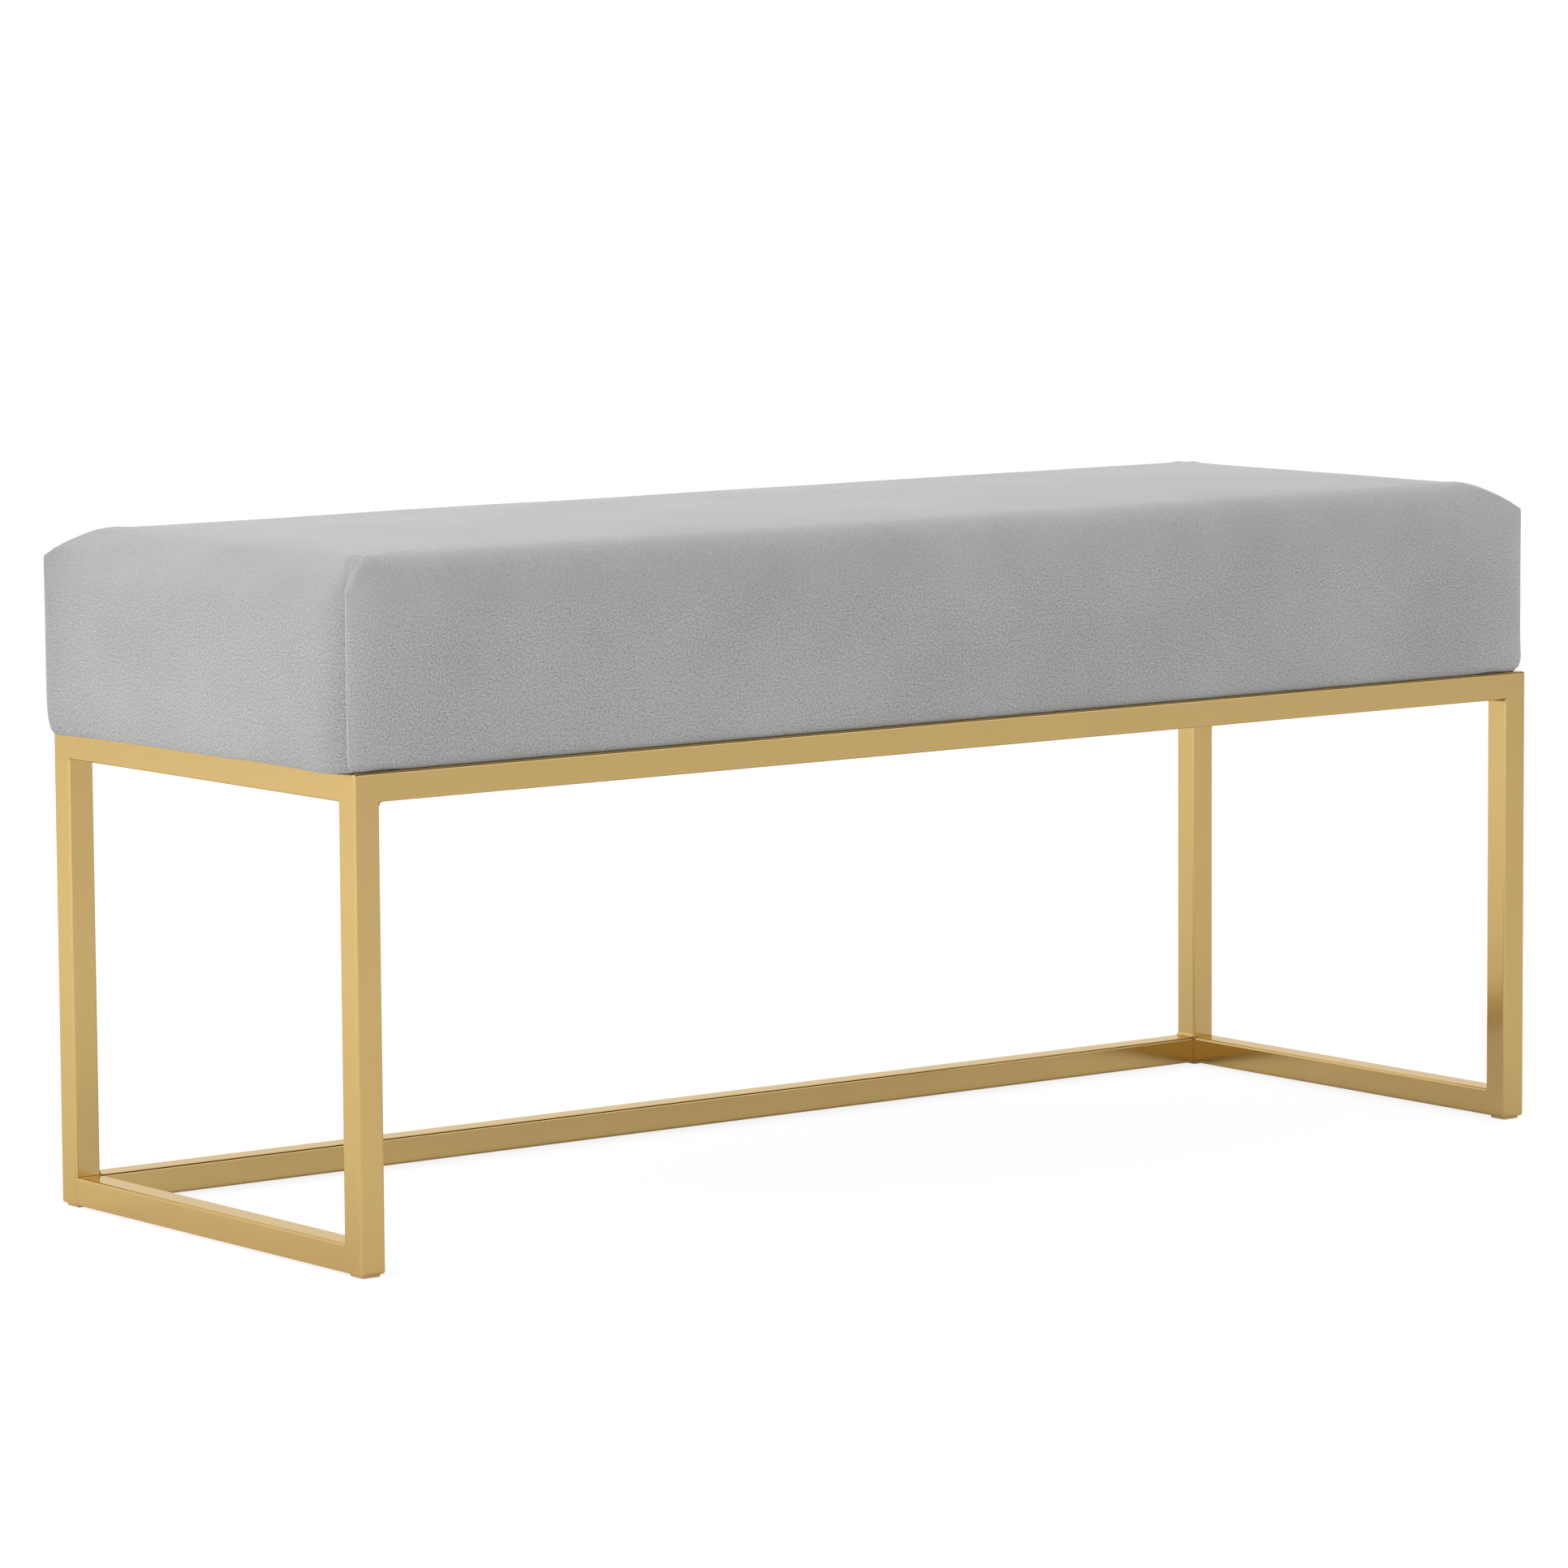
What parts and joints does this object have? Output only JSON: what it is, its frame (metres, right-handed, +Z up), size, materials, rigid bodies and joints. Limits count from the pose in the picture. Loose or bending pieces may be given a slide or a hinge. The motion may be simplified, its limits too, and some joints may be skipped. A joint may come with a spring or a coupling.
{
  "type": "upholstered bench",
  "caption": "Backless bench with a thick velvet box seat pad on a slim welded square-tube frame with end loops and a low back stretcher.",
  "frame": {"origin": "on the floor, under the middle of the bench's bounding box", "axes": "+Z up, +X to the right along the bench's length, -Y towards the open front side, which has no low rail"},
  "size_m": [1.056, 0.382, 0.481],
  "materials": {
    "frame_gold": "satin brushed-gold lacquer on welded steel tube",
    "glide_plastic": "gold-coloured nylon, matt",
    "zinc_steel": "bright zinc-plated fastener steel",
    "plywood": "unfinished birch plywood",
    "foam": "cut polyurethane foam",
    "wadding": "loose polyester fibre wadding",
    "velvet": "short-pile grey velvet with brushed nap",
    "dust_cloth": "black spunbond dust cloth"
  },
  "bodies": {
    "root": {"leg_front_left": "frame_gold", "leg_front_right": "frame_gold", "leg_back_left": "frame_gold", "leg_back_right": "frame_gold", "top_rail_front": "frame_gold", "top_rail_back": "frame_gold", "top_rail_left": "frame_gold", "top_rail_right": "frame_gold", "lower_rail_left": "frame_gold", "lower_rail_right": "frame_gold", "lower_rail_back": "frame_gold", "leg_end_plates": "frame_gold", "glide_front_left": "glide_plastic", "glide_front_right": "glide_plastic", "glide_back_left": "glide_plastic", "glide_back_right": "glide_plastic", "seat_tab_front_1": "frame_gold", "seat_tab_front_2": "frame_gold", "seat_tab_back_1": "frame_gold", "seat_tab_back_2": "frame_gold", "seat_screws": "zinc_steel", "seat_washers": "zinc_steel", "tee_nuts": "zinc_steel", "seat_board": "plywood", "foam_block": "foam", "wadding_layer": "wadding", "velvet_cover": "velvet", "dust_cover": "dust_cloth"}
  },
  "joints": []
}
